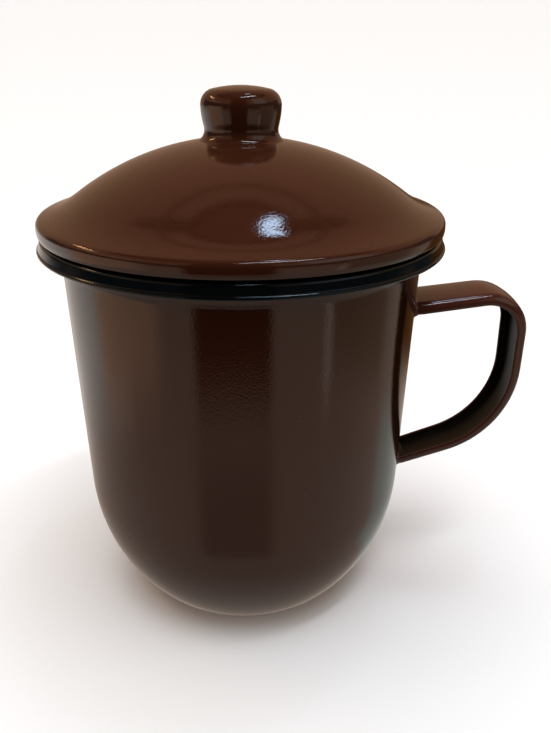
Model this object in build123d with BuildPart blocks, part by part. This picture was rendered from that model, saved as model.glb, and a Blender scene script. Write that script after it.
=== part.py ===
from build123d import *
import os
from math import asin, atan2, cos, degrees, hypot, radians, sin, sqrt, tan

# A lidded enamel mug. Origin at the middle of the base, +Z up, handle along +X.
# Lengths are in millimetres and angles in degrees.

# Cup: a drawn sheet with a rounded belly and a slightly tapered wall
cup_sheet = 0.8
wall_radius = 39.1  # outside of the wall where it meets the belly
wall_taper_angle = 2.0
belly_height = 30.5
belly_radius = 45.0
base_corner_radius = 6.0
lip_angle = 35.0  # rise of the flared lip inside the rim
lip_bend_share = 0.74  # of the lip's free length
lip_setback = 0.5  # from the middle of the rim to the end of the lip

# Rim: a band bent over the cup's lip, with a short leg in the mouth and a longer one outside
rim_overhang = 5.0  # of the rim beyond the line of the wall
rim_height = 91.6
rim_width = 3.2
rim_depth = 3.15  # of the outer leg
rim_bend_radius = 1.0
rim_flare_angle = 5.0  # of the outer leg
rim_sheet = 0.6
crimp_clearance = 0.05

# Handle: a channel that tapers from the upper root to the lower one
grip_distance = 26.4  # from the wall at the upper root to the middle of the strap
upper_root_height = 73.4
upper_arm_angle = 7.0
upper_bend_radius = 9.0
upper_bend_limit_share = 0.35  # most of the grip that the upper bend takes
lower_root_height = 30.7
lower_arm_angle = 19.0
lower_bend_radius = 23.0
lower_bend_limit_share = 0.6  # most of the grip that the lower bend takes
strap_upper_width = 15.0
strap_lower_width = 10.5
strap_depth = 3.0
strap_sheet = 0.8
strap_edge_radius = 1.6
weld_depth = 2.0

# Lid: a pressed dome that runs out into a sloping brim, with an edge turned down onto the rim
lid_sheet = 0.8
seat_clearance = 0.2
lid_inset = 0.5  # of the lid's edge from the outside of the rim
dome_rise = 15.85  # above the outside of the brim
brim_width = 1.2
brim_slope_angle = 19.0
brim_fillet_radius = 22.0
edge_depth = 3.9
edge_bend_radius = 1.6
vent_radius = 1.5

# Collar: a ring under the dome that keeps the lid in the mouth
collar_sheet = 0.6
collar_clearance = 0.7
collar_depth = 10.0  # below the lid's edge
collar_bend_radius = 1.5
collar_flange = 5.0
weld_clearance = 0.05

# Knob: a hollow pressed cap with a flared foot
knob_sheet = 0.8
knob_height = 10.7  # above the top of the dome
knob_radius = 8.9
knob_crown_radius = 28.0
knob_shoulder_radius = 3.4
knob_taper_angle = 7.0
knob_foot_radius = 2.6
knob_foot_sink = 0.15

overrun = 4.0  # by which what is trimmed runs past its cut

# Rounded belly and base corner
taper = radians(wall_taper_angle)
belly_center_radius = wall_radius - belly_radius * cos(taper)
belly_center_height = belly_height + belly_radius * sin(taper)
corner_offset = belly_radius - base_corner_radius
corner_drop = belly_center_height - base_corner_radius
base_flat_radius = belly_center_radius + sqrt(corner_offset**2 - corner_drop**2)
belly_end_angle = degrees(asin(corner_drop / corner_offset))
corner_turn = 90 - belly_end_angle
belly_turn = belly_end_angle - wall_taper_angle


def wall_radius_at(height):
    """Outside radius of the straight wall at a height."""
    return wall_radius + (height - belly_height) * tan(taper)


# Flared lip, whose middle line runs through the middle of the rim
rim_radius = wall_radius_at(rim_height) + rim_overhang
rim_center_radius = rim_radius - rim_width / 2
rim_center_height = rim_height - rim_depth / 2
rim_foot_height = rim_height - rim_depth
lip_rise = radians(lip_angle)
lip_low_height = rim_center_height - cup_sheet / 2 / cos(lip_rise)
knee_height = (
    lip_low_height - (rim_center_radius - wall_radius_at(0)) * tan(lip_rise)
) / (1 - tan(taper) * tan(lip_rise))
lip_turn = 90 - wall_taper_angle - lip_angle
lip_run = (rim_center_radius - wall_radius_at(knee_height)) / cos(lip_rise) - lip_setback
lip_tangent = lip_run * lip_bend_share
lip_bend_radius = lip_tangent / tan(radians(lip_turn / 2))
lip_foot_height = knee_height - lip_tangent * cos(taper)
lip_length = lip_run - lip_tangent

# Lid levels, from the rim up
brim_slope = radians(brim_slope_angle)
edge_radius = rim_radius - lid_inset
edge_foot_height = rim_height + seat_clearance
brim_height = edge_foot_height + edge_depth
brim_radius = edge_radius - edge_bend_radius * (1 - sin(brim_slope))
dome_top_height = brim_height + dome_rise

# Middle of the hollow bend between the dome and the brim, and the dome that meets it
valley_center_radius = brim_radius - brim_width * cos(brim_slope) + brim_fillet_radius * sin(brim_slope)
valley_center_height = brim_height + brim_width * sin(brim_slope) + brim_fillet_radius * cos(brim_slope)
valley_drop = dome_top_height - valley_center_height
dome_radius = (valley_center_radius**2 + valley_drop**2 - brim_fillet_radius**2) / (
    2 * (brim_fillet_radius + valley_drop)
)
dome_center_height = dome_top_height - dome_radius
dome_edge_angle = degrees(atan2(valley_center_radius, dome_radius - valley_drop))
vent_angle = degrees(asin(vent_radius / dome_radius))


def draw_cup_outside():
    """Draw the cup's outer line from the axis to the top of the straight wall."""
    base = Line((0, 0), (base_flat_radius, 0))
    corner = JernArc(base @ 1, base % 1, base_corner_radius, corner_turn)
    belly = JernArc(corner @ 1, corner % 1, belly_radius, belly_turn)
    return Line(belly @ 1, (wall_radius_at(lip_foot_height), lip_foot_height))


def outside_radius_at(height):
    """Outside radius of the mug at a height: the wall, then the rim from the foot of the lip up."""
    return wall_radius_at(height) if height < lip_foot_height else rim_radius


# Space inside the outside of the cup, its rim and the lid's edge, to which the handle is trimmed
with BuildPart() as cup_space:
    with BuildSketch(Plane.XZ):
        with BuildLine():
            wall = draw_cup_outside()
            flare = JernArc(wall @ 1, wall % 1, lip_bend_radius, -lip_turn)
            Polyline(
                flare @ 1,
                (rim_radius, rim_foot_height),
                (rim_radius, brim_height),
                (0, brim_height),
                (0, 0),
            )
        make_face()
    revolve(axis=Axis.Z)

# Cup
with BuildPart() as mug_shell:
    with BuildSketch(Plane.XZ):
        with BuildLine():
            wall = draw_cup_outside()
            flare = JernArc(wall @ 1, wall % 1, lip_bend_radius, -lip_turn)
            PolarLine(flare @ 1, lip_length, direction=flare % 1)
            offset(amount=cup_sheet, side=Side.LEFT)
        make_face()
    revolve(axis=Axis.Z)

# Rim: the inner leg stands on the lip, and the outer leg flares down outside it
rim_flare = radians(rim_flare_angle)
rim_inner_radius = rim_radius - rim_width
inner_leg_reach = rim_inner_radius + rim_sheet
inner_foot_height = (
    lip_low_height
    + (inner_leg_reach - rim_center_radius) * tan(lip_rise)
    + (cup_sheet + crimp_clearance) / cos(lip_rise)
)
outer_leg_drop = rim_depth - rim_bend_radius * (1 - sin(rim_flare))
rim_top_radius = rim_radius - rim_bend_radius * cos(rim_flare) - outer_leg_drop * tan(rim_flare)
with BuildPart() as rim_band:
    with BuildSketch(Plane.XZ):
        with BuildLine():
            inner_leg = Line(
                (rim_inner_radius, inner_foot_height), (rim_inner_radius, rim_height - rim_bend_radius)
            )
            inner_bend = JernArc(inner_leg @ 1, inner_leg % 1, rim_bend_radius, -90)
            crest = Line(inner_bend @ 1, (rim_top_radius, rim_height))
            outer_bend = JernArc(crest @ 1, crest % 1, rim_bend_radius, rim_flare_angle - 90)
            Line(outer_bend @ 1, (rim_radius, rim_foot_height))
            offset(amount=rim_sheet, side=Side.RIGHT)
        make_face()
    revolve(axis=Axis.Z)

# Handle path through the middle of the strap, from inside the wall to inside the wall: two arms,
# and a grip between two bends, which its length limits
upper_slope = tan(radians(upper_arm_angle))
lower_slope = tan(radians(lower_arm_angle))
upper_root_radius = outside_radius_at(upper_root_height)
lower_root_radius = outside_radius_at(lower_root_height)
upper_start_radius = wall_radius_at(upper_root_height) - overrun
lower_start_radius = wall_radius_at(lower_root_height) - overrun
handle_reach = upper_root_radius + grip_distance


def upper_arm_point(radius):
    """Point of the upper arm's line at a distance from the mug's axis."""
    return (radius, upper_root_height + (radius - upper_root_radius) * upper_slope)


def lower_arm_point(radius):
    """Point of the lower arm's line at a distance from the mug's axis."""
    return (radius, lower_root_height + (radius - lower_root_radius) * lower_slope)


upper_corner = upper_arm_point(handle_reach)
lower_corner = lower_arm_point(handle_reach)
grip_length = upper_corner[1] - lower_corner[1]
upper_bend_limit = grip_length * upper_bend_limit_share / tan(radians(45 + upper_arm_angle / 2))
lower_bend_limit = grip_length * lower_bend_limit_share / tan(radians(45 - lower_arm_angle / 2))
with BuildLine(Plane.XZ) as handle_path:
    FilletPolyline(
        upper_arm_point(upper_start_radius),
        upper_corner,
        lower_corner,
        lower_arm_point(lower_start_radius),
        radius=(min(upper_bend_radius, upper_bend_limit), min(lower_bend_radius, lower_bend_limit)),
    )
path = handle_path.wire()
strap_ends = ((0, strap_upper_width), (1, strap_lower_width))


def strap_plane(place):
    """Plane square to the handle's path, its x along the strap's width and its y outwards."""
    return Plane(origin=path @ place, x_dir=(0, 1, 0), z_dir=path % place)


# Handle strap
with BuildPart() as handle_strap:
    for place, width in strap_ends:
        with BuildSketch(strap_plane(place)):
            with BuildLine():
                FilletPolyline(
                    (-width / 2, -strap_depth / 2),
                    (-width / 2, strap_depth / 2),
                    (width / 2, strap_depth / 2),
                    (width / 2, -strap_depth / 2),
                    radius=strap_edge_radius,
                )
                offset(amount=strap_sheet, side=Side.RIGHT)
            make_face()
    sweep(path=path, multisection=True)
    add(cup_space.part, mode=Mode.SUBTRACT)

# Welds that fill the strap's hollow beside the wall, one at each root
roots = {
    "upper_weld": (upper_root_radius, upper_root_height),
    "lower_weld": (lower_root_radius, lower_root_height),
}
hollow_top = strap_depth / 2 - strap_sheet
welds = {}
for name, (root_radius, root_height) in roots.items():
    with BuildPart() as weld:
        for place, width in strap_ends:
            hollow_side = width / 2 - strap_sheet
            with BuildSketch(strap_plane(place)):
                with BuildLine():
                    arch = FilletPolyline(
                        (-hollow_side, -strap_depth / 2),
                        (-hollow_side, hollow_top),
                        (hollow_side, hollow_top),
                        (hollow_side, -strap_depth / 2),
                        radius=strap_edge_radius - strap_sheet,
                    )
                    Line(arch @ 1, arch @ 0)
                make_face()
        sweep(path=path, multisection=True)
        with Locations((0, 0, root_height)):
            Cylinder(root_radius + weld_depth, strap_upper_width, mode=Mode.INTERSECT)
        add(cup_space.part, mode=Mode.SUBTRACT)
    welds[name] = weld

# Lid, drawn from the vent hole outwards
with BuildPart() as lid_shell:
    with BuildSketch(Plane.XZ):
        with BuildLine():
            vent_height = dome_center_height + dome_radius * cos(radians(vent_angle))
            vent_slope = (cos(radians(vent_angle)), -sin(radians(vent_angle)))
            dome = JernArc(
                (vent_radius, vent_height), vent_slope, dome_radius, vent_angle - dome_edge_angle
            )
            valley = JernArc(dome @ 1, dome % 1, brim_fillet_radius, dome_edge_angle - brim_slope_angle)
            brim = Line(valley @ 1, (brim_radius, brim_height))
            edge = JernArc(brim @ 1, brim % 1, edge_bend_radius, brim_slope_angle - 90)
            Line(edge @ 1, (edge_radius, edge_foot_height))
            offset(amount=lid_sheet, side=Side.RIGHT)
        make_face()
    revolve(axis=Axis.Z)

# Collar: a leg in the mouth, and a flange that follows the underside of the dome
collar_foot_height = edge_foot_height - collar_depth
collar_radius = wall_radius_at(collar_foot_height) - cup_sheet - collar_clearance
flange_radius = dome_radius - lid_sheet - weld_clearance
bend_center_radius = collar_radius - collar_bend_radius
bend_reach = flange_radius - collar_bend_radius
bend_rise = sqrt(bend_reach**2 - bend_center_radius**2)
bend_turn = degrees(atan2(bend_rise, bend_center_radius))
flange_turn = degrees(collar_flange / flange_radius)
with BuildPart() as lid_collar:
    with BuildSketch(Plane.XZ):
        with BuildLine():
            leg = Line(
                (collar_radius, collar_foot_height), (collar_radius, dome_center_height + bend_rise)
            )
            bend = JernArc(leg @ 1, leg % 1, collar_bend_radius, bend_turn)
            JernArc(bend @ 1, bend % 1, flange_radius, flange_turn)
            offset(amount=collar_sheet, side=Side.LEFT)
        make_face()
    revolve(axis=Axis.Z)

# Knob: crown, shoulder and side down to a foot that flares onto the dome
knob_top_height = dome_top_height + knob_height
knob_taper = radians(knob_taper_angle)
shoulder_center_radius = knob_radius - knob_shoulder_radius
crown_reach = knob_crown_radius - knob_shoulder_radius
crown_angle = degrees(asin(shoulder_center_radius / crown_reach))
shoulder_drop = knob_crown_radius - crown_reach * cos(radians(crown_angle))
side_top_radius = shoulder_center_radius + knob_shoulder_radius * cos(knob_taper)
side_top_height = knob_top_height - shoulder_drop - knob_shoulder_radius * sin(knob_taper)
foot_x = side_top_radius + knob_foot_radius * cos(knob_taper)
foot_y = side_top_height - knob_foot_radius * sin(knob_taper) - dome_center_height
foot_reach = dome_radius - knob_foot_sink + knob_foot_radius
foot_fall = foot_x * sin(knob_taper) + foot_y * cos(knob_taper)
side_length = foot_fall - sqrt(foot_fall**2 - hypot(foot_x, foot_y) ** 2 + foot_reach**2)
foot_turn = knob_taper_angle + degrees(
    atan2(foot_y - side_length * cos(knob_taper), foot_x - side_length * sin(knob_taper))
)
with BuildPart() as knob:
    with BuildSketch(Plane.XZ):
        with BuildLine():
            crown = JernArc((0, knob_top_height), (1, 0), knob_crown_radius, -crown_angle)
            shoulder = JernArc(
                crown @ 1, crown % 1, knob_shoulder_radius, crown_angle - 90 - knob_taper_angle
            )
            side = PolarLine(shoulder @ 1, side_length, direction=shoulder % 1)
            JernArc(side @ 1, side % 1, knob_foot_radius, foot_turn)
            offset(amount=knob_sheet, side=Side.RIGHT)
        make_face()
    revolve(axis=Axis.Z)
    with Locations((0, 0, dome_center_height)):
        Sphere(dome_radius, mode=Mode.SUBTRACT)

# Labels and files
pieces = {
    "mug_shell": mug_shell,
    "rim_band": rim_band,
    "handle_strap": handle_strap,
    **welds,
    "lid_shell": lid_shell,
    "lid_collar": lid_collar,
    "knob": knob,
}
os.makedirs("parts", exist_ok=True)
for name, piece in pieces.items():
    piece.part.label = name
    export_step(piece.part, f"parts/{name}.step")
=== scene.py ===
import logging
import math
from dataclasses import dataclass, field
from enum import Enum
from typing import Any

import bpy
from mathutils import Matrix, Vector


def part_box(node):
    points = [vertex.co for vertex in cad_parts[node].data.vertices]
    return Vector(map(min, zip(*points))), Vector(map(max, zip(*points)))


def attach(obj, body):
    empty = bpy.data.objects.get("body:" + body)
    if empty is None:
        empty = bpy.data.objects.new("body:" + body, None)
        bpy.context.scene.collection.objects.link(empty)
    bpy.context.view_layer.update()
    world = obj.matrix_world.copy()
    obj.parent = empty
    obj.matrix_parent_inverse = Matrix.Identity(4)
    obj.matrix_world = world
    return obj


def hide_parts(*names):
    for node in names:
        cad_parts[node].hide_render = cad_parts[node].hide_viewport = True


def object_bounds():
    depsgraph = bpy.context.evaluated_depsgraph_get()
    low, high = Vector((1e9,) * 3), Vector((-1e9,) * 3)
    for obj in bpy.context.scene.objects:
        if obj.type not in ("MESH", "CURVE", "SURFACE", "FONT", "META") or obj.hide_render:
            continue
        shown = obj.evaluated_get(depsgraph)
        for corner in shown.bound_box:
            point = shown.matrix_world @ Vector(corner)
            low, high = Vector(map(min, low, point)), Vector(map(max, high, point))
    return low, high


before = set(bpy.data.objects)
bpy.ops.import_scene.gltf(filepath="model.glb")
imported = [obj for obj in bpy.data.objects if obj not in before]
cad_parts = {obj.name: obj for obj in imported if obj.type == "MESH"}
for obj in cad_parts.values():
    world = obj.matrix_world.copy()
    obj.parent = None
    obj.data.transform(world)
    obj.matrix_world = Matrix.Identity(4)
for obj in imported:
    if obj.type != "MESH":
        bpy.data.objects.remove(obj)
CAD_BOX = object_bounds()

MM = 0.001
LOG = logging.getLogger("enamel_mug")

# Steps of the drawn lines, in millimetres and degrees, and of the turned pieces round the axis
RUN_STEP = 1.6
ARC_STEP = 7.5
TURN_SEGMENTS = 240
HUB_RADIUS = 1.0
MERGE_DISTANCE = 0.001

# Sides of a drawn sheet: the line, its ends and the other face, which starts above the least value
LINE_SIDE, END_SIDE, FACE_SIDE, FACE_LEAST = 0.0, 0.5, 1.0, 0.6

# A face with more corners than this closes an end of a swept piece
QUAD_CORNERS = 4.5


class Body(Enum):
    """The bodies that a piece can ride on."""

    MUG = "mug"
    LID = "lid"


class Slot(Enum):
    """The record's finishes."""

    BROWN = "brown_enamel"
    BLACK = "black_enamel"


def linear(colour: str) -> tuple[float, float, float, float]:
    """Turn an sRGB hex colour to linear light.

    Args:
        colour: The colour, as in "#45251a".

    Returns:
        Linear red, green, blue and an alpha of 1.
    """
    shares = [int(colour[i : i + 2], 16) / 255 for i in (1, 3, 5)]
    light = [s / 12.92 if s <= 0.04045 else ((s + 0.055) / 1.055) ** 2.4 for s in shares]
    return (*light, 1.0)


def add_node(tree: bpy.types.NodeTree, kind: str, inputs: dict[str, Any], **settings: Any) -> bpy.types.Node:
    """Add a node with its settings, values and links.

    Args:
        tree: The tree that gets the node.
        kind: The node's type.
        inputs: Values by socket name or identifier. A node links its first output, and a pair
            of a node and an output's name links that output.
        settings: The node's own settings.

    Returns:
        The new node.
    """
    node = tree.nodes.new(kind)
    for name, value in settings.items():
        setattr(node, name, value)
    for name, value in inputs.items():
        socket = next(s for s in node.inputs if name in (s.identifier, s.name))
        if isinstance(value, bpy.types.Node):
            value = (value, value.outputs[0].name)
        if isinstance(value, tuple) and isinstance(value[0], bpy.types.Node):
            source = next(s for s in value[0].outputs if value[1] in (s.identifier, s.name))
            tree.links.new(source, socket)
        else:
            socket.default_value = value
    return node


def empty_tree(owner: bpy.types.Material | bpy.types.World) -> bpy.types.NodeTree:
    """Turn on the nodes of a material or world.

    Args:
        owner: The material or world.

    Returns:
        Its tree, without nodes.
    """
    owner.use_nodes = True
    owner.node_tree.nodes.clear()
    return owner.node_tree


@dataclass
class Outline:
    """A line of straight runs and tangent arcs, in millimetres, with its heading in degrees."""

    x: float
    y: float
    heading: float = 0.0
    step: float = RUN_STEP
    points: list[tuple[float, float, float]] = field(default_factory=list)

    def __post_init__(self) -> None:
        """Keep the first point."""
        self.points.append((self.x, self.y, self.heading))

    def run(self, length: float) -> "Outline":
        """Draw a straight run.

        Args:
            length: Length of the run.

        Returns:
            The same line.
        """
        steps = max(1, math.ceil(length / self.step))
        turn = math.radians(self.heading)
        for _ in range(steps):
            self.x += length / steps * math.cos(turn)
            self.y += length / steps * math.sin(turn)
            self.points.append((self.x, self.y, self.heading))
        return self

    def arc(self, radius: float, turn: float) -> "Outline":
        """Draw an arc that goes on in the line's own direction.

        Args:
            radius: Radius of the arc.
            turn: Angle of the arc, to the left if positive.

        Returns:
            The same line.
        """
        length = radius * math.radians(abs(turn))
        steps = max(2, math.ceil(abs(turn) / ARC_STEP), math.ceil(length / self.step))
        chord = 2 * radius * math.sin(math.radians(abs(turn) / steps / 2))
        for _ in range(steps):
            middle = math.radians(self.heading + turn / steps / 2)
            self.x += chord * math.cos(middle)
            self.y += chord * math.sin(middle)
            self.heading += turn / steps
            self.points.append((self.x, self.y, self.heading))
        return self

    def beside(self, distance: float) -> list[tuple[float, float]]:
        """Points of the parallel line at a distance to the left, or to the right if it is negative."""
        turned = [(x, y, math.radians(heading + 90)) for x, y, heading in self.points]
        return [(x + distance * math.cos(turn), y + distance * math.sin(turn)) for x, y, turn in turned]

    def sheet(self, thickness: float, from_axis: bool = False) -> list[tuple[float, float, float]]:
        """Give the line the thickness of a sheet on its left, with rounded ends.

        Args:
            thickness: Thickness of the sheet, or of one on the right if it is negative.
            from_axis: Whether the sheet starts on the axis, where it has no end.

        Returns:
            Points round the sheet, each with its side.
        """
        half_turn = math.copysign(180, thickness)
        back = self.beside(thickness)[::-1]
        loop = [(x, y, LINE_SIDE) for x, y, _ in self.points]
        end = Outline(self.x, self.y, self.heading).arc(abs(thickness) / 2, half_turn)
        loop += [(x, y, END_SIDE) for x, y, _ in end.points[1:-1]]
        loop += [(x, y, FACE_SIDE) for x, y in back]
        if not from_axis:
            start = Outline(*back[-1], self.points[0][2] + 180).arc(abs(thickness) / 2, half_turn)
            loop += [(x, y, END_SIDE) for x, y, _ in start.points[1:-1]]
        return loop


@dataclass(frozen=True)
class Enamel:
    """A glassy coat fused to steel sheet in a kiln.

    It flows as it melts, so edges are rounded and the surface is as smooth as glass, with a fine
    orange peel that breaks up the edges of highlights, faint clouds where the coat is thicker, and
    a few pinholes and grains of dust.
    """

    name: str
    deep: str
    light: str
    speck: str
    roughness: tuple[float, float]
    cloud_size: float = 26.0
    smudge_size: float = 9.0
    peel_size: float = 0.5
    peel_height: float = 0.018
    noise_details: tuple[float, float, float] = (3.0, 5.0, 2.0)
    speck_spacing: float = 7.0
    speck_radius: float = 0.13
    speck_core_share: float = 0.5
    ior: float = 1.52
    gloss_tint: str = "#ffffff"

    def build(self) -> bpy.types.Material:
        """Build the material.

        Returns:
            The new material.
        """
        material = bpy.data.materials.new(self.name)
        tree = empty_tree(material)
        place = (add_node(tree, "ShaderNodeTexCoord", {}), "Object")
        sizes = (self.cloud_size, self.smudge_size, self.peel_size)
        cloud, smudge, peel = (
            add_node(
                tree, "ShaderNodeTexNoise", {"Vector": place, "Scale": 1 / (size * MM), "Detail": detail}
            )
            for size, detail in zip(sizes, self.noise_details)
        )
        shade = add_node(
            tree,
            "ShaderNodeMix",
            {"Factor_Float": (cloud, "Fac"), "A_Color": linear(self.deep), "B_Color": linear(self.light)},
            data_type="RGBA",
        )
        cells = {"Vector": place, "Scale": 1 / (self.speck_spacing * MM)}
        near = add_node(tree, "ShaderNodeTexVoronoi", cells)
        speck = add_node(
            tree,
            "ShaderNodeMapRange",
            {
                "Value": (near, "Distance"),
                "From Min": self.speck_core_share * self.speck_radius / self.speck_spacing,
                "From Max": self.speck_radius / self.speck_spacing,
                "To Min": 1.0,
                "To Max": 0.0,
            },
        )
        colour = add_node(
            tree,
            "ShaderNodeMix",
            {"Factor_Float": speck, "A_Color": (shade, "Result_Color"), "B_Color": linear(self.speck)},
            data_type="RGBA",
        )
        gloss = add_node(
            tree,
            "ShaderNodeMapRange",
            {"Value": (smudge, "Fac"), "To Min": self.roughness[0], "To Max": self.roughness[1]},
        )
        bump = add_node(
            tree,
            "ShaderNodeBump",
            {"Height": (peel, "Fac"), "Strength": 1.0, "Distance": self.peel_height * MM},
        )
        surface = add_node(
            tree,
            "ShaderNodeBsdfPrincipled",
            {
                "Base Color": (colour, "Result_Color"),
                "Roughness": gloss,
                "Normal": bump,
                "IOR": self.ior,
                "Specular Tint": linear(self.gloss_tint),
            },
        )
        add_node(tree, "ShaderNodeOutputMaterial", {"Surface": surface})
        return material


@dataclass
class Finishes:
    """The materials of the mug."""

    brown: bpy.types.Material
    handle: bpy.types.Material
    black: bpy.types.Material
    ground: bpy.types.Material

    @classmethod
    def build(cls) -> "Finishes":
        """Build each finish once.

        Returns:
            The finishes.
        """
        return cls(
            brown=Enamel("brown_enamel", "#32180d", "#3c1d10", "#7a6250", (0.04, 0.1)).build(),
            # The handle and its beads wear a lighter copy of the brown enamel, painted light for the extra
            # light that falls on the handle
            handle=Enamel("red_brown_enamel_painted_lighter", "#3c1d15", "#46241b", "#7a6250", (0.06, 0.14)).build(),
            # The rim is dipped once more, in a black coat that mirrors the room in cold tones
            black=Enamel(
                "black_enamel", "#040505", "#080a0a", "#4a4b4e", (0.04, 0.1), gloss_tint="#a8c4d8"
            ).build(),
            # The hollow side of the strap and the welds get a near-black, dull coat, and its grey gloss tint
            # dims their reflections, a painted shade inside the channel
            ground=Enamel(
                "ground_coat_enamel", "#0d0c07", "#13110b", "#2a2420", (0.25, 0.4), gloss_tint="#5c605a"
            ).build(),
        )


class TreeMaker:
    """Builds the Geometry Nodes trees and turns their results to plain meshes."""

    @staticmethod
    def start(name: str, inputs: dict[str, str]) -> tuple[bpy.types.NodeTree, bpy.types.Node]:
        """Start a tree that takes and gives geometry.

        Args:
            name: The tree's name.
            inputs: Socket types of the sizes by name.

        Returns:
            The tree and its input node.
        """
        tree = bpy.data.node_groups.new(name, "GeometryNodeTree")
        tree.is_modifier = True
        tree.interface.new_socket("Geometry", in_out="INPUT", socket_type="NodeSocketGeometry")
        for label, kind in inputs.items():
            tree.interface.new_socket(label, in_out="INPUT", socket_type=kind)
        tree.interface.new_socket("Geometry", in_out="OUTPUT", socket_type="NodeSocketGeometry")
        return tree, tree.nodes.new("NodeGroupInput")

    @staticmethod
    def bake(
        name: str, base: bpy.types.Mesh, tree: bpy.types.NodeTree, values: dict[str, Any]
    ) -> bpy.types.Object:
        """Run a tree on a drawn line and keep the result as a plain mesh.

        Args:
            name: Name of the piece.
            base: The drawn line.
            tree: The tree.
            values: Values of the tree's inputs by name.

        Returns:
            The finished piece, at the origin.
        """
        source = bpy.data.objects.new(name + "_line", base)
        bpy.context.scene.collection.objects.link(source)
        modifier = source.modifiers.new("shape", "NODES")
        modifier.node_group = tree
        for item in tree.interface.items_tree:
            if item.in_out == "INPUT" and item.name in values:
                modifier[item.identifier] = values[item.name]
        graph = bpy.context.evaluated_depsgraph_get()
        mesh = bpy.data.meshes.new_from_object(source.evaluated_get(graph))
        source.modifiers.clear()
        bpy.data.objects.remove(source)
        mesh.name = name
        piece = bpy.data.objects.new(name, mesh)
        bpy.context.scene.collection.objects.link(piece)
        return piece


@dataclass
class Line:
    """A drawn line for a tree: points in metres, whether it closes, and a value at each point."""

    points: list[tuple[float, float, float]]
    closed: bool
    inner: list[float]
    is_section: bool = False


def line_mesh(name: str, lines: list[Line]) -> bpy.types.Mesh:
    """Make a mesh of edges along lines.

    Args:
        name: The mesh's name.
        lines: The lines.

    Returns:
        The mesh, with the attributes inner and section.
    """
    points: list[tuple[float, float, float]] = []
    edges: list[tuple[int, int]] = []
    for line in lines:
        first, count = len(points), len(line.points)
        points += line.points
        edges += [(first + i, first + (i + 1) % count) for i in range(count if line.closed else count - 1)]
    mesh = bpy.data.meshes.new(name)
    mesh.from_pydata(points, edges, [])
    values = {
        "inner": [value for line in lines for value in line.inner],
        "section": [float(line.is_section) for line in lines for _ in line.points],
    }
    for label, value in values.items():
        mesh.attributes.new(label, "FLOAT", "POINT").data.foreach_set("value", value)
    return mesh


@dataclass
class Turning:
    """Turns the outline of a sheet round the mug's axis, as pressing and spinning shape it."""

    wave_height: float = 0.05
    wave_length: float = 24.0
    seed: float = 4.0
    tree: bpy.types.NodeTree | None = None

    def build_tree(self) -> bpy.types.NodeTree:
        """Build the tree: a profile swept round a hub, with the slight waves of pressed sheet.

        Returns:
            The tree.
        """
        tree, given = TreeMaker.start(
            "turned_sheet",
            {
                "Segments": "NodeSocketInt",
                "Hub Radius": "NodeSocketFloat",
                "Wave Height": "NodeSocketFloat",
                "Waves per Metre": "NodeSocketFloat",
                "Seed": "NodeSocketFloat",
                "Material": "NodeSocketMaterial",
            },
        )
        profile = add_node(tree, "GeometryNodeMeshToCurve", {"Mesh": (given, "Geometry")})
        hub = add_node(
            tree,
            "GeometryNodeCurvePrimitiveCircle",
            {"Resolution": (given, "Segments"), "Radius": (given, "Hub Radius")},
        )
        swept = add_node(tree, "GeometryNodeCurveToMesh", {"Curve": hub, "Profile Curve": profile})
        closed = add_node(
            tree, "GeometryNodeMergeByDistance", {"Geometry": swept, "Distance": MERGE_DISTANCE * MM}
        )
        waves = add_node(
            tree,
            "ShaderNodeTexNoise",
            {
                "Vector": add_node(tree, "GeometryNodeInputPosition", {}),
                "W": (given, "Seed"),
                "Scale": (given, "Waves per Metre"),
                "Detail": 0.0,
            },
            noise_dimensions="4D",
        )
        depth = add_node(
            tree,
            "ShaderNodeMath",
            {"Value": (waves, "Fac"), "Value_001": (given, "Wave Height")},
            operation="MULTIPLY",
        )
        inwards = add_node(tree, "ShaderNodeMath", {"Value": depth, "Value_001": -1.0}, operation="MULTIPLY")
        shift = add_node(
            tree,
            "ShaderNodeVectorMath",
            {"Vector": add_node(tree, "GeometryNodeInputNormal", {}), "Scale": inwards},
            operation="SCALE",
        )
        moved = add_node(tree, "GeometryNodeSetPosition", {"Geometry": closed, "Offset": shift})
        smooth = add_node(tree, "GeometryNodeSetShadeSmooth", {"Geometry": moved})
        whole = add_node(tree, "GeometryNodeRealizeInstances", {"Geometry": smooth})
        dressed = add_node(
            tree, "GeometryNodeSetMaterial", {"Geometry": whole, "Material": (given, "Material")}
        )
        add_node(tree, "NodeGroupOutput", {"Geometry": dressed})
        return tree

    def turn(
        self, name: str, loop: list[tuple[float, float, float]], closed: bool, material: bpy.types.Material
    ) -> bpy.types.Object:
        """Turn a piece.

        Args:
            name: Name of the piece.
            loop: Radius and height along the sheet's outline, in millimetres, and its side.
            closed: Whether the outline closes, away from the axis.
            material: The piece's finish.

        Returns:
            The piece.
        """
        if self.tree is None:
            self.tree = self.build_tree()
        area = sum(a[0] * b[1] - b[0] * a[1] for a, b in zip(loop, loop[1:] + loop[:1]))
        if area > 0:
            loop = loop[::-1]  # clockwise, so that the faces point outwards
        points = [((r - HUB_RADIUS) * MM, -z * MM, 0.0) for r, z, _ in loop]
        line = Line(points, closed, [side for _, _, side in loop])
        values = {
            "Segments": TURN_SEGMENTS,
            "Hub Radius": HUB_RADIUS * MM,
            "Wave Height": self.wave_height * MM,
            "Waves per Metre": 1 / (self.wave_length * MM),
            "Seed": self.seed,
            "Material": material,
        }
        return TreeMaker.bake(name, line_mesh(name + "_line", [line]), self.tree, values)


def mount(piece: bpy.types.Object, body: Body, slot: Slot, *nodes: str) -> None:
    """Put a finished piece in the frame.

    Args:
        piece: The piece.
        body: The body that it rides on.
        slot: The record's finish that it wears; not used.
        nodes: The CAD nodes that it stands for.
    """
    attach(piece, body.value)
    if nodes:
        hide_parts(*nodes)
    LOG.info("%s rides on %s, %d faces", piece.name, body.value, len(piece.data.polygons))


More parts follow.
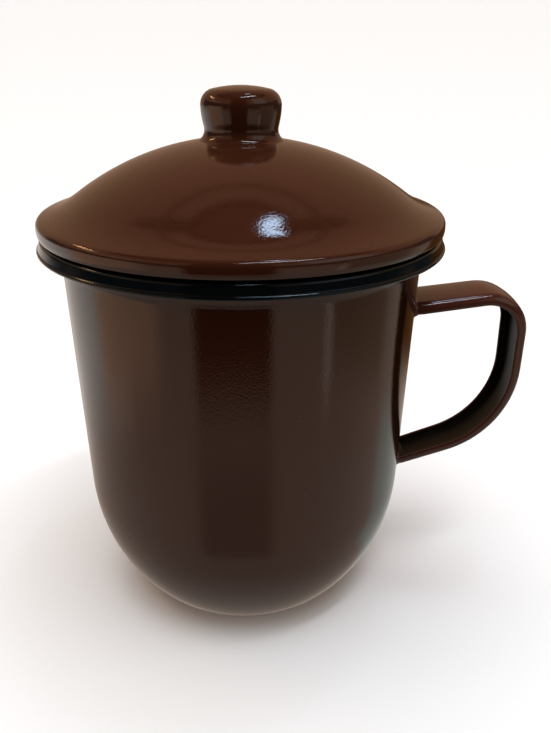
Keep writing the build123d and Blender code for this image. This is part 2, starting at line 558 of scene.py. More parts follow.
@dataclass
class Cup:
    """The drawn cup and the band over its lip. Sizes are in millimetres and degrees."""

    sheet: float = 0.8
    wall_radius: float = 39.1
    wall_taper: float = 2.0
    belly_height: float = 30.5
    belly_radius: float = 45.0
    corner_radius: float = 6.0
    lip_angle: float = 35.0
    lip_bend_share: float = 0.5
    lip_setback: float = 0.5
    rim_width: float = 3.2
    rim_depth: float = 3.15
    rim_bend_radius: float = 1.0
    rim_flare: float = 14.0
    rim_sheet: float = 0.6
    crimp_clearance: float = 0.05
    foot_bead_radius: float = 0.48
    foot_bead_lean: float = 40.0

    def __post_init__(self) -> None:
        """Take the rim's place from the frame."""
        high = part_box("rim_band")[1]
        self.rim_radius = high.x / MM
        self.rim_height = high.z / MM

    def wall_radius_at(self, height: float) -> float:
        """Outside radius of the straight wall at a height."""
        return self.wall_radius + (height - self.belly_height) * math.tan(math.radians(self.wall_taper))

    def lip_height(self) -> float:
        """Height of the lip's underside at the middle of the rim."""
        return self.rim_height - self.rim_depth / 2 - self.sheet / 2 / math.cos(math.radians(self.lip_angle))

    def outline(self) -> Outline:
        """Draw the outside of the cup.

        Returns:
            The line from the middle of the base to the end of the lip.
        """
        taper, rise = math.radians(self.wall_taper), math.radians(self.lip_angle)
        belly_x = self.wall_radius - self.belly_radius * math.cos(taper)
        belly_y = self.belly_height + self.belly_radius * math.sin(taper)
        reach = self.belly_radius - self.corner_radius
        drop = belly_y - self.corner_radius
        belly_end = math.degrees(math.asin(drop / reach))
        lip_x = self.rim_radius - self.rim_width / 2
        low = self.lip_height()
        knee = low - (lip_x - self.wall_radius_at(0)) * math.tan(rise)
        knee /= 1 - math.tan(taper) * math.tan(rise)
        lip_turn = 90 - self.wall_taper - self.lip_angle
        lip_run = (lip_x - self.wall_radius_at(knee)) / math.cos(rise) - self.lip_setback
        tangent = lip_run * self.lip_bend_share
        foot = knee - tangent * math.cos(taper)
        line = Outline(0.0, 0.0)
        line.run(belly_x + math.sqrt(reach**2 - drop**2))
        line.arc(self.corner_radius, 90 - belly_end)
        line.arc(self.belly_radius, belly_end - self.wall_taper)
        line.run((foot - line.y) / math.cos(taper))
        line.arc(tangent / math.tan(math.radians(lip_turn / 2)), -lip_turn)
        return line.run(lip_run - tangent)

    def rim(self) -> list[tuple[float, float, float]]:
        """Draw the band's sheet, from its foot on the lip over to the bead of enamel along its outer foot.

        Returns:
            Points round the sheet, with their side.
        """
        flare, rise = math.radians(self.rim_flare), math.radians(self.lip_angle)
        lean, bead = self.foot_bead_lean, self.foot_bead_radius
        swell = 2 * bead * (1 - math.cos(math.radians(lean)))
        bead_height = bead * (1 + 2 * math.sin(math.radians(lean)))
        inner, bend, sheet = self.rim_radius - self.rim_width, self.rim_bend_radius, self.rim_sheet
        foot = self.lip_height() + (self.sheet + self.crimp_clearance) / math.cos(rise)
        foot += (sheet - self.rim_width / 2) * math.tan(rise) + sheet / 2
        drop = self.rim_depth - bend * (1 - math.sin(flare))
        crest = self.rim_radius - swell - bend * math.cos(flare) - drop * math.tan(flare)
        line = Outline(inner, foot, 90.0)
        line.run(self.rim_height - bend - foot).arc(bend, -90).run(crest - inner - bend)
        line.arc(bend, self.rim_flare - 90).run(drop / math.cos(flare) - bead_height)
        face = [(x, y, FACE_SIDE) for x, y in line.beside(-sheet)[::-1]]
        line.arc(bead, lean).arc(bead, -lean - 180)
        start = Outline(*face[-1][:2], -90.0).arc(sheet / 2, -180)
        ends = [(x, y, END_SIDE) for x, y, _ in start.points[1:-1]]
        return [(x, y, LINE_SIDE) for x, y, _ in line.points] + face + ends

    def build(self, turning: Turning, finishes: Finishes) -> None:
        """Build and dress the cup and the rim.

        Args:
            turning: Turns the pieces.
            finishes: The materials.
        """
        cup = turning.turn("cup", self.outline().sheet(self.sheet, from_axis=True), False, finishes.brown)
        mount(cup, Body.MUG, Slot.BROWN, "mug_shell")
        rim = turning.turn("rim", self.rim(), True, finishes.black)
        mount(rim, Body.MUG, Slot.BLACK, "rim_band")


@dataclass
class Lid:
    """The pressed lid, the collar under it and its knob. Sizes are in millimetres and degrees."""

    sheet: float = 0.8
    dome_rise: float = 15.85
    brim_width: float = 1.2
    brim_slope: float = 19.0
    brim_fillet_radius: float = 22.0
    edge_depth: float = 3.9
    edge_bend_radius: float = 1.6
    foot_lean: float = 24.0
    foot_length: float = 1.3
    vent_radius: float = 1.5
    collar_sheet: float = 0.6
    collar_bend_radius: float = 1.5
    collar_flange: float = 5.0
    weld_clearance: float = 0.05
    knob_sheet: float = 0.8
    knob_radius: float = 8.9
    knob_crown_radius: float = 28.0
    knob_shoulder_radius: float = 3.4
    knob_taper: float = 14.0
    knob_swell: float = 13.0
    knob_swell_radius: float = 17.5
    knob_foot_radius: float = 2.6
    knob_foot_sink: float = 0.15

    def __post_init__(self) -> None:
        """Take the lid's place from the frame, and fit the dome to the bend above its brim."""
        low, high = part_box("lid_shell")
        slope, fillet = math.radians(self.brim_slope), self.brim_fillet_radius
        self.edge_foot = low.z / MM
        brim_x = high.x / MM - self.edge_bend_radius * (1 - math.sin(slope))
        brim_y = self.edge_foot + self.edge_depth
        valley_x = brim_x - self.brim_width * math.cos(slope) + fillet * math.sin(slope)
        drop = self.dome_rise - self.brim_width * math.sin(slope) - fillet * math.cos(slope)
        self.dome_radius = (valley_x**2 + drop**2 - fillet**2) / (2 * (fillet + drop))
        self.dome_edge = math.degrees(math.atan2(valley_x, self.dome_radius - drop))
        self.dome_middle = brim_y + self.dome_rise - self.dome_radius
        self.collar_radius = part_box("lid_collar")[1].x / MM
        self.collar_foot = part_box("lid_collar")[0].z / MM
        self.knob_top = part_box("knob")[1].z / MM

    def shell(self) -> list[tuple[float, float, float]]:
        """Draw the lid's sheet from the vent hole to the foot of its turned-down edge.

        Returns:
            Points round the sheet, with their side.
        """
        vent = math.degrees(math.asin(self.vent_radius / self.dome_radius))
        vent_height = self.dome_middle + self.dome_radius * math.cos(math.radians(vent))
        line = Outline(self.vent_radius, vent_height, -vent)
        line.arc(self.dome_radius, vent - self.dome_edge)
        line.arc(self.brim_fillet_radius, self.dome_edge - self.brim_slope).run(self.brim_width)
        line.arc(self.edge_bend_radius, self.brim_slope - 90)
        line.run(line.y - self.edge_foot - self.sheet / 2 - self.foot_length)
        return line.arc(self.foot_length / math.radians(self.foot_lean), -self.foot_lean).sheet(-self.sheet)

    def collar(self) -> list[tuple[float, float, float]]:
        """Draw the collar's sheet from its foot to the end of its flange.

        Returns:
            Points round the sheet, with their side.
        """
        flange = self.dome_radius - self.sheet - self.weld_clearance
        bend_x = self.collar_radius - self.collar_bend_radius
        rise = math.sqrt((flange - self.collar_bend_radius) ** 2 - bend_x**2)
        line = Outline(self.collar_radius, self.collar_foot + self.collar_sheet / 2, 90.0)
        line.run(self.dome_middle + rise - line.y)
        line.arc(self.collar_bend_radius, math.degrees(math.atan2(rise, bend_x)))
        line.arc(flange, math.degrees(self.collar_flange / flange))
        return line.sheet(self.collar_sheet)

    def knob(self) -> list[tuple[float, float, float]]:
        """Draw the knob's sheet from the middle of its crown, down its swelled side, to its foot's edge.

        Returns:
            Points round the sheet, with their side.
        """
        taper = math.radians(self.knob_taper)
        shoulder, foot = self.knob_shoulder_radius, self.knob_foot_radius
        crown_reach = self.knob_crown_radius - shoulder
        crown = math.degrees(math.asin((self.knob_radius - shoulder) / crown_reach))
        line = Outline(0.0, self.knob_top)
        line.arc(self.knob_crown_radius, -crown)
        line.arc(shoulder, crown - 90 - self.knob_taper + self.knob_swell)
        line.arc(self.knob_swell_radius, -self.knob_swell)
        foot_x = line.x + foot * math.cos(taper)
        foot_y = line.y - foot * math.sin(taper) - self.dome_middle
        foot_reach = self.dome_radius - self.knob_foot_sink + foot
        fall = foot_x * math.sin(taper) + foot_y * math.cos(taper)
        side = fall - math.sqrt(fall**2 - math.hypot(foot_x, foot_y) ** 2 + foot_reach**2)
        line.run(side)
        rise = math.atan2(foot_y - side * math.cos(taper), foot_x - side * math.sin(taper))
        line.arc(foot, self.knob_taper + math.degrees(rise))
        return line.sheet(-self.knob_sheet, from_axis=True)

    def build(self, turning: Turning, finishes: Finishes) -> None:
        """Build and dress the lid, its collar and its knob.

        Args:
            turning: Turns the pieces.
            finishes: The materials.
        """
        for name, loop, closed, node in (
            ("lid", self.shell(), True, "lid_shell"),
            ("collar", self.collar(), True, "lid_collar"),
            ("knob_cap", self.knob(), False, "knob"),
        ):
            mount(turning.turn(name, loop, closed, finishes.brown), Body.LID, Slot.BROWN, node)


@dataclass
class Handle:
    """The handle, a channel that tapers from its upper root to its lower one, in millimetres and degrees."""

    cup: Cup
    grip_distance: float = 26.39
    upper_root_height: float = 73.4
    upper_arm_angle: float = 7.0
    upper_bend_radius: float = 9.0
    lower_root_height: float = 30.7
    lower_arm_angle: float = 19.0
    lower_bend_radius: float = 23.0
    upper_width: float = 15.0
    lower_width: float = 10.5
    depth: float = 3.0
    sheet: float = 0.8
    edge_radius: float = 2.2
    crown_angle: float = 6.0
    wall_sink: float = 0.3
    bead_size: float = 1.0
    bead_sink: float = 0.1
    bead_steps: int = 6
    seat_rounds: int = 4

    def path(self) -> Outline:
        """Draw the middle of the strap.

        Returns:
            The line from the wall at the upper root to the wall at the lower one.
        """
        upper, lower = math.radians(self.upper_arm_angle), math.radians(self.lower_arm_angle)
        upper_x = self.cup.wall_radius_at(self.upper_root_height)
        lower_run = upper_x + self.grip_distance - self.cup.wall_radius_at(self.lower_root_height)
        grip = (
            self.upper_root_height
            + self.grip_distance * math.tan(upper)
            - self.lower_root_height
            - lower_run * math.tan(lower)
        )
        upper_tangent = self.upper_bend_radius * math.tan(math.pi / 4 + upper / 2)
        lower_tangent = self.lower_bend_radius * math.tan(math.pi / 4 - lower / 2)
        line = Outline(upper_x, self.upper_root_height, self.upper_arm_angle)
        line.run(self.grip_distance / math.cos(upper) - upper_tangent)
        line.arc(self.upper_bend_radius, -90 - self.upper_arm_angle)
        line.run(grip - upper_tangent - lower_tangent)
        line.arc(self.lower_bend_radius, self.lower_arm_angle - 90)
        return line.run(lower_run / math.cos(lower) - lower_tangent)

    def across(self, line: Outline, depth: float, way: int) -> Outline:
        """Draw the outside of the channel at the upper root, over its crowned back.

        Args:
            line: The line, at one side of the mouth and heading for the back.
            depth: Depth of the back's middle below the line's start.
            way: 1 to turn left, and -1 to turn right.

        Returns:
            The same line, at the other side of the mouth.
        """
        crown, edge = math.radians(self.crown_angle), self.edge_radius
        back = (self.upper_width / 2 - edge * (1 - math.sin(crown))) / math.sin(crown)
        side = depth - edge * math.cos(crown) - back * (1 - math.cos(crown))
        edge_turn = way * (90 - self.crown_angle)
        line.run(side).arc(edge, edge_turn).arc(back, way * 2 * self.crown_angle)
        return line.arc(edge, edge_turn).run(side)

    def section(self) -> list[tuple[float, float, float]]:
        """Draw the channel's sheet at the upper root, its width along x and its mouth along +y."""
        line = Outline(-self.upper_width / 2, self.depth / 2 - self.sheet / 2, -90.0)
        return self.across(line, self.depth - self.sheet / 2, 1).sheet(self.sheet)

    def build_tree(self) -> bpy.types.NodeTree:
        """Build the tree: the section swept along the path, narrowed, and cut to the wall.

        Returns:
            The tree.
        """
        tree, given = TreeMaker.start(
            "channel_strap",
            {
                "Flat Half": "NodeSocketFloat",
                "Narrowing": "NodeSocketFloat",
                "Wall Radius": "NodeSocketFloat",
                "Wall Slope": "NodeSocketFloat",
                "Outside": "NodeSocketMaterial",
                "Hollow": "NodeSocketMaterial",
            },
        )
        kind = add_node(tree, "GeometryNodeInputNamedAttribute", {"Name": "section"})
        parts = add_node(
            tree,
            "GeometryNodeSeparateGeometry",
            {"Geometry": (given, "Geometry"), "Selection": (kind, "Attribute")},
        )
        section = add_node(tree, "GeometryNodeMeshToCurve", {"Mesh": (parts, "Selection")})
        rail = add_node(tree, "GeometryNodeMeshToCurve", {"Mesh": (parts, "Inverted")})
        length = (add_node(tree, "GeometryNodeSplineParameter", {}), "Factor")
        last = add_node(tree, "GeometryNodeCurveEndpointSelection", {})
        ends = rail
        for name, value in (("along", length), ("end", last)):
            ends = add_node(
                tree, "GeometryNodeStoreNamedAttribute", {"Geometry": ends, "Name": name, "Value": value}
            )
        plain = add_node(tree, "GeometryNodeRemoveAttribute", {"Geometry": ends, "Name": "inner"})
        swept = add_node(
            tree, "GeometryNodeCurveToMesh", {"Curve": plain, "Profile Curve": section, "Fill Caps": True}
        )
        place = add_node(tree, "GeometryNodeInputPosition", {})
        at = add_node(tree, "ShaderNodeSeparateXYZ", {"Vector": place})
        share = add_node(
            tree,
            "ShaderNodeMath",
            {"Value": (at, "Y"), "Value_001": (given, "Flat Half")},
            operation="DIVIDE",
        )
        side = add_node(tree, "ShaderNodeClamp", {"Value": share, "Min": -1.0, "Max": 1.0})
        far = add_node(tree, "GeometryNodeInputNamedAttribute", {"Name": "along"})
        narrow = add_node(
            tree,
            "ShaderNodeMath",
            {"Value": (far, "Attribute"), "Value_001": (given, "Narrowing")},
            operation="MULTIPLY",
        )
        inwards = add_node(tree, "ShaderNodeMath", {"Value": side, "Value_001": narrow}, operation="MULTIPLY")
        offset = add_node(tree, "ShaderNodeCombineXYZ", {"Y": inwards})
        tapered = add_node(tree, "GeometryNodeSetPosition", {"Geometry": swept, "Offset": offset})
        wall = add_node(
            tree,
            "ShaderNodeMath",
            {"Value": (at, "Z"), "Value_001": (given, "Wall Slope"), "Value_002": (given, "Wall Radius")},
            operation="MULTIPLY_ADD",
        )
        square = add_node(tree, "ShaderNodeMath", {"Value": wall, "Value_001": 2.0}, operation="POWER")
        across = add_node(
            tree, "ShaderNodeMath", {"Value": (at, "Y"), "Value_001": (at, "Y")}, operation="MULTIPLY"
        )
        left = add_node(tree, "ShaderNodeMath", {"Value": square, "Value_001": across}, operation="SUBTRACT")
        meet = add_node(tree, "ShaderNodeMath", {"Value": left}, operation="SQRT")
        is_end = add_node(tree, "GeometryNodeInputNamedAttribute", {"Name": "end"})
        wall_place = add_node(tree, "ShaderNodeCombineXYZ", {"X": meet, "Y": (at, "Y"), "Z": (at, "Z")})
        cut = add_node(
            tree,
            "GeometryNodeSetPosition",
            {"Geometry": tapered, "Selection": (is_end, "Attribute"), "Position": wall_place},
        )
        smooth = add_node(tree, "GeometryNodeSetShadeSmooth", {"Geometry": cut})
        corners = add_node(tree, "GeometryNodeInputMeshFaceNeighbors", {})
        cap = add_node(
            tree,
            "ShaderNodeMath",
            {"Value": (corners, "Vertex Count"), "Value_001": QUAD_CORNERS},
            operation="GREATER_THAN",
        )
        flat = add_node(
            tree, "GeometryNodeSetShadeSmooth", {"Geometry": smooth, "Selection": cap, "Shade Smooth": False}
        )
        whole = add_node(tree, "GeometryNodeRealizeInstances", {"Geometry": flat})
        outside = add_node(
            tree, "GeometryNodeSetMaterial", {"Geometry": whole, "Material": (given, "Outside")}
        )
        inner = add_node(tree, "GeometryNodeInputNamedAttribute", {"Name": "inner"})
        hollow = add_node(
            tree,
            "ShaderNodeMath",
            {"Value": (inner, "Attribute"), "Value_001": FACE_LEAST},
            operation="GREATER_THAN",
        )
        dressed = add_node(
            tree,
            "GeometryNodeSetMaterial",
            {"Geometry": outside, "Selection": hollow, "Material": (given, "Hollow")},
        )
        add_node(tree, "NodeGroupOutput", {"Geometry": dressed})
        return tree

    def strap(self, finishes: Finishes) -> bpy.types.Object:
        """Sweep the strap.

        Args:
            finishes: The materials.

        Returns:
            The piece.
        """
        path, section = self.path(), self.section()
        lines = [
            Line([(x * MM, 0.0, z * MM) for x, z, _ in path.points], False, [LINE_SIDE] * len(path.points)),
            Line([(x * MM, y * MM, 0.0) for x, y, _ in section], True, [s for _, _, s in section], True),
        ]
        values = {
            "Flat Half": (self.upper_width / 2 - self.edge_radius) * MM,
            "Narrowing": (self.lower_width - self.upper_width) / 2 * MM,
            "Wall Radius": (self.cup.wall_radius_at(0) - self.wall_sink) * MM,
            "Wall Slope": math.tan(math.radians(self.cup.wall_taper)),
            "Outside": finishes.handle,
            "Hollow": finishes.ground,
        }
        return TreeMaker.bake("handle", line_mesh("handle_line", lines), self.build_tree(), values)

    def bead(
        self, name: str, height: float, angle: float, width: float, up: float, material: bpy.types.Material
    ) -> bpy.types.Object:
        """Lay the bead of enamel that gathers where the strap meets the wall.

        Args:
            name: Name of the piece.
            height: Height of the root on the wall.
            angle: Rise of the arm away from the wall.
            width: Width of the strap at the root.
            up: 1 where the outside of the strap is above the arm, and -1 where it is below.
            material: The bead's finish.

        Returns:
            The piece.
        """
        turn = math.radians(angle)
        arm = Vector((math.cos(turn), 0.0, math.sin(turn)))
        out = Vector((-math.sin(turn), 0.0, math.cos(turn))) * up
        line = self.across(Outline(-self.upper_width / 2, -self.depth / 2, 90.0), self.depth, -1)
        line.heading = 180.0
        line.points.append((line.x, line.y, line.heading))
        line.run(self.upper_width)
        flat = self.upper_width / 2 - self.edge_radius
        ring: list[list[Vector]] = []
        for y, v, heading in line.points:
            y += max(-1.0, min(1.0, y / flat)) * (width - self.upper_width) / 2
            side = math.radians(heading + 90)
            away = Vector((0.0, 1.0, 0.0)) * math.cos(side) + out * math.sin(side)
            point = Vector((self.cup.wall_radius_at(height), y, height)) + out * v
            for _ in range(self.seat_rounds):
                reach = self.cup.wall_radius_at(point.z) - self.bead_sink
                point += arm * ((math.sqrt(reach**2 - y**2) - point.x) / arm.x)
            normal = Vector((point.x, point.y, 0.0)).normalized()
            along = (away - normal * away.dot(normal)).normalized()
            size = self.bead_size
            section = [point - (arm + along) * self.wall_sink]
            for step in range(self.bead_steps + 1):
                lean = math.pi / 2 * step / self.bead_steps
                up_arm, up_wall = size * (1 - math.sin(lean)), size * (1 - math.cos(lean))
                section.append(point + arm * up_arm + along * up_wall)
            ring.append([p * MM for p in section])
        count, width_count = len(ring), len(ring[0])
        vertices = [p for section in ring for p in section]
        faces = [
            (
                i * width_count + j,
                (i + 1) % count * width_count + j,
                (i + 1) % count * width_count + (j + 1) % width_count,
                i * width_count + (j + 1) % width_count,
            )
            for i in range(count)
            for j in range(width_count)
        ]
        mesh = bpy.data.meshes.new(name)
        mesh.from_pydata(vertices, [], faces)
        mesh.polygons.foreach_set("use_smooth", [True] * len(mesh.polygons))
        mesh.materials.append(material)
        piece = bpy.data.objects.new(name, mesh)
        bpy.context.scene.collection.objects.link(piece)
        return piece

    def build(self, finishes: Finishes) -> None:
        """Build and dress the strap, the beads at its roots and the welds under them.

        Args:
            finishes: The materials.
        """
        mount(self.strap(finishes), Body.MUG, Slot.BROWN, "handle_strap")
        for name, height, angle, width, up in (
            ("upper_bead", self.upper_root_height, self.upper_arm_angle, self.upper_width, 1),
            ("lower_bead", self.lower_root_height, self.lower_arm_angle, self.lower_width, -1),
        ):
            mount(self.bead(name, height, angle, width, up, finishes.handle), Body.MUG, Slot.BROWN)
        for node in ("upper_weld", "lower_weld"):
            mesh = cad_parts[node].data
            mesh.materials.clear()
            mesh.materials.append(finishes.ground)


def direction(azimuth: float, elevation: float) -> Vector:
    """Direction from the mug, with the azimuth from the front to the handle's side, in degrees."""
    turn, rise = math.radians(azimuth), math.radians(elevation)
    return Vector((math.sin(turn) * math.cos(rise), -math.cos(turn) * math.cos(rise), math.sin(rise)))


def hang(name: str, kind: str, colour: str, way: Vector) -> bpy.types.Object:
    """Add a lamp that shines from a direction.

    Args:
        name: The lamp's name.
        kind: Its type.
        colour: Its sRGB colour.
        way: The direction from the mug to the lamp.

    Returns:
        The lamp, at the origin.
    """
    data = bpy.data.lights.new(name, kind)
    data.color = linear(colour)[:3]
    lamp = bpy.data.objects.new(name, data)
    bpy.context.scene.collection.objects.link(lamp)
    lamp.rotation_mode = "QUATERNION"
    lamp.rotation_quaternion = way.to_track_quat("Z", "Y")
    return lamp


@dataclass(frozen=True)
class SoftLight:
    """A round or oval studio lamp that faces the mug, placed by angles in degrees and sizes in metres."""

    name: str
    azimuth: float
    elevation: float
    distance: float
    width: float
    height: float
    watts: float
    colour: str

    def build(self, target: Vector) -> None:
        """Hang the lamp.

        Args:
            target: The point that it faces.
        """
        way = direction(self.azimuth, self.elevation)
        lamp = hang(self.name, "AREA", self.colour, way)
        lamp.location = target + way * self.distance
        lamp.data.shape = "ELLIPSE"
        lamp.data.size = self.width
        lamp.data.size_y = self.height
        lamp.data.energy = self.watts


@dataclass(frozen=True)
class SoftFill:
    """An even light from far away that shapes the mug but is not mirrored by it, in degrees."""

    name: str
    azimuth: float
    elevation: float
    strength: float
    spread: float
    colour: str

    def build(self) -> None:
        """Set the light up."""
        lamp = hang(self.name, "SUN", self.colour, direction(self.azimuth, self.elevation))
        lamp.data.energy = self.strength
        lamp.data.angle = math.radians(self.spread)
        lamp.visible_glossy = False


@dataclass(frozen=True)
class RoomPatch:
    """A soft-edged patch of the room that the enamel mirrors, in degrees seen from the mug."""

    name: str
    azimuth: float
    elevation: float
    half_width: float
    half_height: float
    side_edge: float
    top_edge: float
    colour: str

    @staticmethod
    def fade(tree: bpy.types.NodeTree, away: bpy.types.Node, half: float, edge: float) -> bpy.types.Node:
        """Fade a patch with the angle from its middle.

        Args:
            tree: The room's tree.
            away: The angle from the patch's middle, with its sign.
            half: Half the size of the patch that way.
            edge: Width of its soft edge.

        Returns:
            A node that gives 1 inside the patch and 0 outside.
        """
        distance = add_node(tree, "ShaderNodeMath", {"Value": away}, operation="ABSOLUTE")
        return add_node(
            tree,
            "ShaderNodeMapRange",
            {"Value": distance, "From Min": half - edge, "From Max": half, "To Min": 1.0, "To Max": 0.0},
            interpolation_type="SMOOTHSTEP",
        )

    def paint(
        self,
        tree: bpy.types.NodeTree,
        turn: bpy.types.Node,
        rise: bpy.types.Node,
        under: tuple[bpy.types.Node, str],
    ) -> tuple[bpy.types.Node, str]:
        """Paint the patch over the room.

        Args:
            tree: The room's tree.
            turn: The azimuth of a direction.
            rise: The elevation of a direction.
            under: The colour so far.

        Returns:
            The colour with the patch.
        """
        shifted = add_node(
            tree, "ShaderNodeMath", {"Value": turn, "Value_001": self.azimuth}, operation="SUBTRACT"
        )
        sideways = add_node(
            tree,
            "ShaderNodeMath",
            {"Value": shifted, "Value_001": 180.0, "Value_002": -180.0},
            operation="WRAP",
        )
        upwards = add_node(
            tree, "ShaderNodeMath", {"Value": rise, "Value_001": self.elevation}, operation="SUBTRACT"
        )
        share = add_node(
            tree,
            "ShaderNodeMath",
            {
                "Value": self.fade(tree, sideways, self.half_width, self.side_edge),
                "Value_001": self.fade(tree, upwards, self.half_height, self.top_edge),
            },
            operation="MULTIPLY",
        )
        mixed = add_node(
            tree,
            "ShaderNodeMix",
            {"Factor_Float": share, "A_Color": under, "B_Color": linear(self.colour)},
            data_type="RGBA",
        )
        return mixed, "Result_Color"


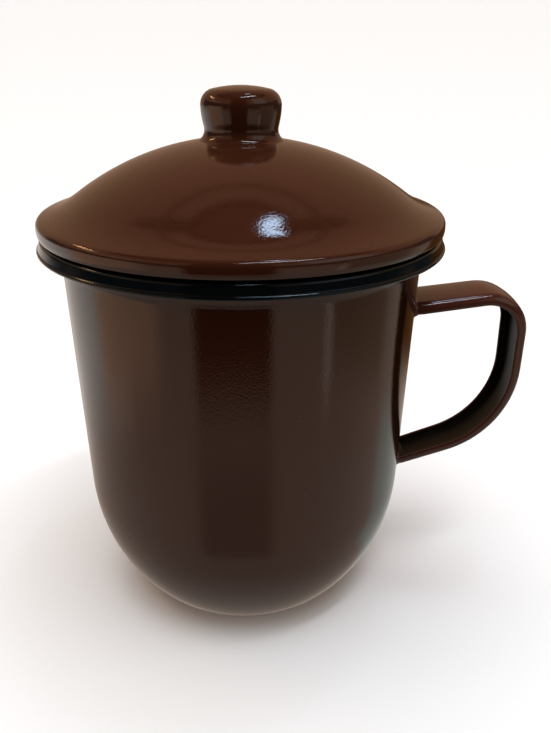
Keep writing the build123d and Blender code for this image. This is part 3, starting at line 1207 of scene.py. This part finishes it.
@dataclass
class Studio:
    """A pale round cove under an even soft light, small lamps, and the room that the enamel mirrors."""

    floor_radius: float = 500.0
    cove_radius: float = 3000.0
    cove_turn: float = 55.0
    floor_drop: float = 0.05
    outline_step: float = 50.0
    floor_colour: str = "#f9f9f9"
    paper_fibre: float = 40.0
    paper_roughness: tuple[float, float] = (0.85, 0.95)
    fills: tuple[SoftFill, ...] = (
        SoftFill("top_fill", 0.0, 90.0, 2.45, 65.0, "#ecfaff"),
        SoftFill("front_fill", -8.0, 25.0, 0.85, 60.0, "#fff6ee"),
    )
    lamps: tuple[SoftLight, ...] = (
        SoftLight("top_lamp", 130.0, 79.0, 1.2, 0.085, 0.17, 0.65, "#c0dafa"),
        SoftLight("tube_lamp", 40.0, 72.0, 1.2, 0.75, 0.05, 2.4, "#f2f5ff"),
        SoftLight("warm_lamp", -112.0, 37.0, 1.2, 0.5, 0.08, 0.9, "#ffc48a"),
    )
    room_tones: tuple[tuple[float, str], ...] = (
        (-90.0, "#b2a49c"),
        (-60.0, "#aa9a8e"),
        (-35.0, "#bca99c"),
        (-15.0, "#bca590"),
        (0.0, "#ad8d75"),
        (25.0, "#aa8465"),
        (45.0, "#ae7e65"),
        (90.0, "#aa7965"),
    )
    patches: tuple[RoomPatch, ...] = (
        RoomPatch("ceiling_front", 0.0, 75.0, 130.0, 30.0, 6.0, 6.0, "#432a23"),
        RoomPatch("ceiling", 0.0, 90.0, 200.0, 19.0, 6.0, 3.0, "#7a4a38"),
        RoomPatch("ceiling_edge", 0.0, 71.0, 200.0, 3.0, 6.0, 2.5, "#2c1a14"),
        RoomPatch("beam", 0.0, 60.0, 200.0, 2.5, 6.0, 2.0, "#7d5543"),
        RoomPatch("upper_dark", 0.0, 5.0, 132.0, 15.0, 8.0, 5.0, "#3c4244"),
        RoomPatch("dark_front", -7.0, 16.0, 28.0, 49.5, 7.0, 7.0, "#141516"),
        RoomPatch("front_table", -7.0, -41.0, 34.0, 13.0, 14.0, 10.0, "#8a7f77"),
        RoomPatch("left_table", -120.0, -16.5, 45.0, 17.0, 14.0, 11.0, "#f4eae2"),
        RoomPatch("left_wall", -80.0, -14.0, 32.0, 18.0, 16.0, 8.0, "#ffcdac"),
        RoomPatch("left_strip", -82.0, 25.0, 24.0, 5.0, 6.0, 4.0, "#ffd9b0"),
        RoomPatch("right_dark", 78.0, -12.0, 30.0, 17.0, 10.0, 6.0, "#99836f"),
        RoomPatch("right_window", 58.0, 34.0, 26.0, 20.0, 10.0, 8.0, "#dacbc4"),
        RoomPatch("right_streak", 55.0, -22.0, 4.0, 10.0, 3.0, 6.0, "#fbe4d6"),
        RoomPatch("right_back", 145.0, -12.0, 26.0, 14.5, 8.0, 5.0, "#5f3f22"),
        RoomPatch("right_table", 138.0, -37.0, 34.0, 12.0, 10.0, 5.0, "#c2c4bc"),
    )

    def floor(self, turning: Turning) -> None:
        """Lay the floor and sweep it up.

        Args:
            turning: Turns the cove.
        """
        line = Outline(0.0, -self.floor_drop, step=self.outline_step)
        line.run(self.floor_radius).arc(self.cove_radius, self.cove_turn)
        material = bpy.data.materials.new("matt_paper")
        tree = empty_tree(material)
        place = (add_node(tree, "ShaderNodeTexCoord", {}), "Object")
        fibre = add_node(tree, "ShaderNodeTexNoise", {"Vector": place, "Scale": 1 / (self.paper_fibre * MM)})
        low, high = self.paper_roughness
        rough = add_node(
            tree, "ShaderNodeMapRange", {"Value": (fibre, "Fac"), "To Min": low, "To Max": high}
        )
        surface = add_node(
            tree, "ShaderNodeBsdfPrincipled", {"Base Color": linear(self.floor_colour), "Roughness": rough}
        )
        add_node(tree, "ShaderNodeOutputMaterial", {"Surface": surface})
        cove = turning.turn("cove", [(x, y, LINE_SIDE) for x, y, _ in line.points], False, material)
        cove.visible_glossy = False
        cove.visible_diffuse = False

    def room(self) -> None:
        """Paint the room round the mug: tones by elevation, and patches over them."""
        world = bpy.data.worlds.new("room")
        bpy.context.scene.world = world
        tree = empty_tree(world)
        way = add_node(
            tree, "ShaderNodeSeparateXYZ", {"Vector": (add_node(tree, "ShaderNodeTexCoord", {}), "Generated")}
        )
        lean = add_node(tree, "ShaderNodeMath", {"Value": (way, "Z")}, operation="ARCSINE")
        rise = add_node(tree, "ShaderNodeMath", {"Value": lean}, operation="DEGREES")
        front = add_node(
            tree, "ShaderNodeMath", {"Value": (way, "Y"), "Value_001": -1.0}, operation="MULTIPLY"
        )
        round_mug = add_node(
            tree, "ShaderNodeMath", {"Value": (way, "X"), "Value_001": front}, operation="ARCTAN2"
        )
        turn = add_node(tree, "ShaderNodeMath", {"Value": round_mug}, operation="DEGREES")
        height = add_node(tree, "ShaderNodeMapRange", {"Value": rise, "From Min": -90.0, "From Max": 90.0})
        tones = add_node(tree, "ShaderNodeValToRGB", {"Fac": height})
        elements = tones.color_ramp.elements
        while len(elements) < len(self.room_tones):
            elements.new(1.0)
        for element, (elevation, colour) in zip(elements, self.room_tones):
            element.position = (elevation + 90) / 180
            element.color = linear(colour)
        colour = (tones, "Color")
        for patch in self.patches:
            colour = patch.paint(tree, turn, rise, colour)
        light = add_node(tree, "ShaderNodeBackground", {"Color": colour})
        add_node(tree, "ShaderNodeOutputWorld", {"Surface": light})

    def build(self, turning: Turning) -> None:
        """Build the cove, the room and the lamps.

        Args:
            turning: Turns the cove.
        """
        self.floor(turning)
        self.room()
        for light in self.fills:
            light.build()
        target = (CAD_BOX[0] + CAD_BOX[1]) / 2
        for lamp in self.lamps:
            lamp.build(target)
        bpy.context.scene.view_settings.view_transform = "Standard"


@dataclass
class PhotoCamera:
    """The camera at the photograph's viewing angle, in millimetres and radians."""

    place: tuple[float, float, float] = (0.0, -172.25, 130.13)
    pitch: float = 0.405
    pan: float = 0.045
    roll: float = 0.005
    focal_pixels: float = 750.0
    long_side_pixels: float = 733.0
    sensor: float = 36.0

    def build(self) -> None:
        """Make the camera and give it to the scene."""
        data = bpy.data.cameras.new("photo_camera")
        data.sensor_width = self.sensor
        data.lens = self.focal_pixels * self.sensor / self.long_side_pixels
        data.clip_start = MM
        camera = bpy.data.objects.new("photo_camera", data)
        bpy.context.scene.collection.objects.link(camera)
        ahead = Vector(
            (
                math.sin(self.pan) * math.cos(self.pitch),
                math.cos(self.pan) * math.cos(self.pitch),
                -math.sin(self.pitch),
            )
        )
        right = Vector((math.cos(self.pan), -math.sin(self.pan), 0.0))
        axes = Matrix((right, right.cross(ahead), -ahead)).transposed()
        camera.matrix_world = (
            Matrix.Translation(Vector(self.place) * MM)
            @ axes.to_4x4()
            @ Matrix.Rotation(self.roll, 4, "Z")
        )
        bpy.context.scene.camera = camera


def main() -> None:
    """Build the mug, its stage and its light in order."""
    logging.basicConfig(level=logging.INFO, format="%(name)s: %(message)s")
    PhotoCamera().build()
    finishes = Finishes.build()
    turning = Turning()
    cup = Cup()
    cup.build(turning, finishes)
    Handle(cup).build(finishes)
    Lid().build(turning, finishes)
    Studio().build(Turning(wave_height=0.0))


if __name__ == "__main__":
    main()
